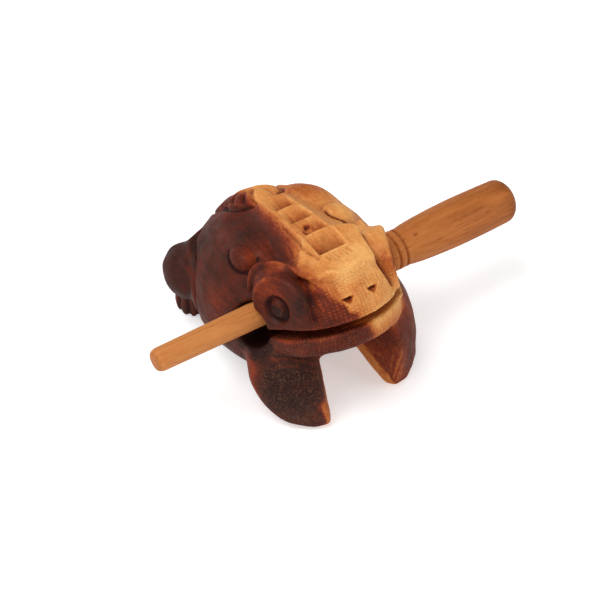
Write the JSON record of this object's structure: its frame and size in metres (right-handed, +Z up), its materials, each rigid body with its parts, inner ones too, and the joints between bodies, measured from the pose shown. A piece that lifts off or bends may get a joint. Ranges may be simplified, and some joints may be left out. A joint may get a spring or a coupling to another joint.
{
  "type": "frog guiro",
  "caption": "Carved wooden frog rasp with a notched strip along its back, a hollow belly and a turned striker stick kept in the hole through its mouth.",
  "frame": {"origin": "on the flat under the belly, on the surface the frog stands on", "axes": "+Z up, -Y the way the frog faces, +X along the stick towards its handle"},
  "size_m": [0.136, 0.0807, 0.0604],
  "materials": {
    "scorched_wood": "carved and scorched, lightly waxed",
    "light_wood": "turned and sanded, bare"
  },
  "bodies": {
    "frog": {"frog_body": "scorched_wood"},
    "stick": {"striker_stick": "light_wood"}
  },
  "joints": [
    {"name": "stick_slide", "type": "slide", "parent": "frog", "child": "stick", "axis": [1, 0, 0], "range_m": [0, 0.1]}
  ]
}
